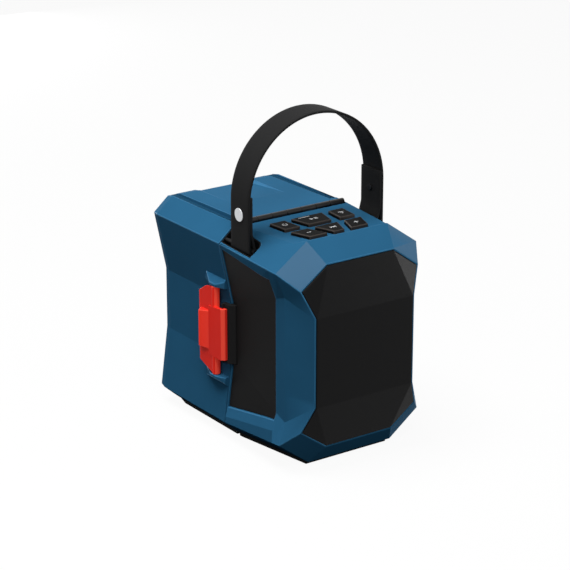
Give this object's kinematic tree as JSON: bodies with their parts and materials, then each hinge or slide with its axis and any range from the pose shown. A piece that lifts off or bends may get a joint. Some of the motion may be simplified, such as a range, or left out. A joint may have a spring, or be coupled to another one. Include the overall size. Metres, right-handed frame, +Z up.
{
  "type": "bluetooth speaker",
  "caption": "Portable wireless speaker with a faceted grille front, control keys, webbing carry strap, and a hinged rear cover held by side latches over the battery.",
  "frame": {"origin": "ground level under the middle of the speaker", "axes": "+Z up, -Y towards the grille, +X to the right seen from the front"},
  "size_m": [0.1338, 0.195, 0.264],
  "materials": {
    "blue_shell": "moulded matte blue",
    "black_plastic": "moulded matte black",
    "key_rubber": "satin black",
    "acoustic_cloth": "fine black acoustic cloth",
    "webbing": "woven black webbing",
    "red_plastic": "satin red",
    "steel": "bright",
    "foot_rubber": "matte",
    "board": "solder mask",
    "magnet": "plated",
    "cone": "pressed",
    "light": "clear satin",
    "pack_case": "moulded"
  },
  "bodies": {
    "speaker": {"front_housing": "blue_shell", "side_panel_left": "black_plastic", "side_panel_right": "black_plastic", "grille_frame": "black_plastic", "baffle": "black_plastic", "woofer_basket": "black_plastic", "bulkhead": "black_plastic", "hinge_fixed_leaf": "black_plastic", "latch_catch_left": "black_plastic", "latch_catch_right": "black_plastic", "strap_anchor_left": "black_plastic", "strap_anchor_right": "black_plastic", "pack_rail": "black_plastic", "grille_cloth": "acoustic_cloth", "strap": "webbing", "hinge_pin": "steel", "strap_pins": "steel", "strap_snaps": "steel", "pack_contacts": "steel", "bulkhead_screws": "steel", "key_switches": "steel", "front_feet": "foot_rubber", "cover_seal": "foot_rubber", "woofer_surround": "foot_rubber", "main_board": "board", "key_board": "board", "woofer_magnet": "magnet", "status_light": "light"},
    "rear_cover": {"rear_cover": "blue_shell", "hinge_moving_leaf": "black_plastic", "rear_foot": "foot_rubber", "latch_pin_left": "steel", "latch_pin_right": "steel"},
    "latch_left": {"latch_left": "red_plastic"},
    "latch_right": {"latch_right": "red_plastic"},
    "woofer_cone": {"woofer_cone": "cone"},
    "battery_pack": {"battery_pack": "pack_case"},
    "power_key": {"power_key": "key_rubber"},
    "play_key": {"play_key": "key_rubber"},
    "pair_key": {"pair_key": "key_rubber"},
    "volume_down_key": {"volume_down_key": "key_rubber"},
    "skip_key": {"skip_key": "key_rubber"},
    "volume_up_key": {"volume_up_key": "key_rubber"}
  },
  "joints": [
    {"name": "cover_hinge", "type": "hinge", "parent": "speaker", "child": "rear_cover", "pos_m": [0, -0.003, 0.177], "axis": [1, 0, 0], "range_deg": [0, 80]},
    {"name": "latch_left_pivot", "type": "hinge", "parent": "rear_cover", "child": "latch_left", "pos_m": [-0.06129, 0.014, 0.0874], "axis": [0, 0, -1], "range_deg": [0, 14], "stiffness_Nm_per_rad": 0.4},
    {"name": "latch_right_pivot", "type": "hinge", "parent": "rear_cover", "child": "latch_right", "pos_m": [0.06129, 0.014, 0.0874], "axis": [0, 0, 1], "range_deg": [0, 14], "stiffness_Nm_per_rad": 0.4},
    {"name": "cone_travel", "type": "slide", "parent": "speaker", "child": "woofer_cone", "axis": [0, -1, 0], "range_m": [-0.002, 0.002], "stiffness_N_per_m": 1500},
    {"name": "pack_slide", "type": "slide", "parent": "speaker", "child": "battery_pack", "axis": [0, 0, 1], "range_m": [0, 0.028]},
    {"name": "power_key_press", "type": "slide", "parent": "speaker", "child": "power_key", "axis": [0, 0, -1], "range_m": [0, 0.0008], "stiffness_N_per_m": 700},
    {"name": "play_key_press", "type": "slide", "parent": "speaker", "child": "play_key", "axis": [0, 0, -1], "range_m": [0, 0.0008], "stiffness_N_per_m": 700},
    {"name": "pair_key_press", "type": "slide", "parent": "speaker", "child": "pair_key", "axis": [0, 0, -1], "range_m": [0, 0.0008], "stiffness_N_per_m": 700},
    {"name": "volume_down_key_press", "type": "slide", "parent": "speaker", "child": "volume_down_key", "axis": [0, 0, -1], "range_m": [0, 0.0008], "stiffness_N_per_m": 700},
    {"name": "skip_key_press", "type": "slide", "parent": "speaker", "child": "skip_key", "axis": [0, 0, -1], "range_m": [0, 0.0008], "stiffness_N_per_m": 700},
    {"name": "volume_up_key_press", "type": "slide", "parent": "speaker", "child": "volume_up_key", "axis": [0, 0, -1], "range_m": [0, 0.0008], "stiffness_N_per_m": 700}
  ]
}
